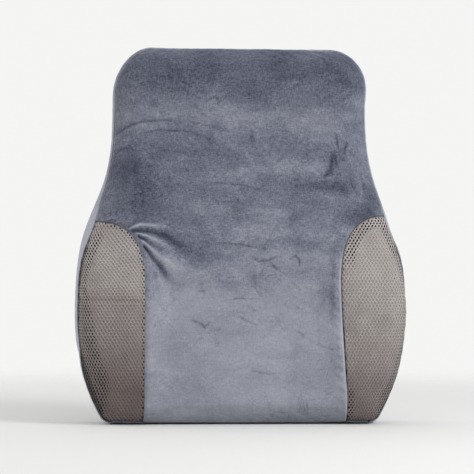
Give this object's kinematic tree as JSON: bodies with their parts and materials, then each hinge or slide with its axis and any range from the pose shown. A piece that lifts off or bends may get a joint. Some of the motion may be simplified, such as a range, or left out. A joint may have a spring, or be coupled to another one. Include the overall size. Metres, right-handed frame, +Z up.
{
  "type": "lumbar support cushion",
  "caption": "Contoured foam back cushion in a zipped velvet cover with spacer-mesh side wings and buckled chair straps.",
  "frame": {"origin": "centre of the whole object's box in X and Y, on the plane of the bottom gusset it stands on", "axes": "+Z up along the cushion's height, front face towards -Y, flat back towards +Y, +X to the viewer's right from the front"},
  "size_m": [0.4208, 0.1189, 0.48],
  "materials": {
    "foam": "open-cell polyurethane foam",
    "liner": "fine knitted lining",
    "velvet": "short-pile velvet, blue-grey",
    "mesh": "knitted spacer mesh with hexagonal openings",
    "zip_tape": "woven polyester tape",
    "zip_coil": "nylon coil",
    "zip_metal": "lacquered die-cast zinc",
    "webbing": "ribbed elastic webbing",
    "buckle": "moulded acetal",
    "label": "satin ribbon"
  },
  "bodies": {
    "cushion": {"foam_core": "foam", "inner_liner": "liner", "front_panel": "velvet", "mesh_wing_left": "mesh", "mesh_wing_right": "mesh", "gusset_top": "velvet", "gusset_left": "velvet", "gusset_right": "velvet", "gusset_bottom": "velvet", "back_panel_upper": "velvet", "back_panel_lower": "velvet", "zip_tape_upper": "zip_tape", "zip_tape_lower": "zip_tape", "zip_coil_upper": "zip_coil", "zip_coil_lower": "zip_coil", "zip_stop_left": "zip_metal", "zip_stop_right": "zip_metal", "upper_strap_fixed": "webbing", "upper_strap_adjustable": "webbing", "upper_buckle_socket": "buckle", "lower_strap_fixed": "webbing", "lower_strap_adjustable": "webbing", "lower_buckle_socket": "buckle", "care_label": "label"},
    "slider": {"zip_slider": "zip_metal"},
    "pull": {"zip_pull": "zip_metal"},
    "upper_plug": {"upper_buckle_plug": "buckle"},
    "lower_plug": {"lower_buckle_plug": "buckle"}
  },
  "joints": [
    {"name": "zip_travel", "type": "slide", "parent": "cushion", "child": "slider", "axis": [1, 0, 0], "range_m": [-0.271, 0]},
    {"name": "zip_pull_swing", "type": "hinge", "parent": "slider", "child": "pull", "pos_m": [0.1355, 0.05205, 0.06], "axis": [0, 0, 1], "range_deg": [0, 178]},
    {"name": "upper_buckle_release", "type": "slide", "parent": "cushion", "child": "upper_plug", "axis": [1, 0, 0], "range_m": [0, 0.024], "deforming": ["upper_strap_adjustable"]},
    {"name": "lower_buckle_release", "type": "slide", "parent": "cushion", "child": "lower_plug", "axis": [1, 0, 0], "range_m": [0, 0.024], "deforming": ["lower_strap_adjustable"]}
  ]
}
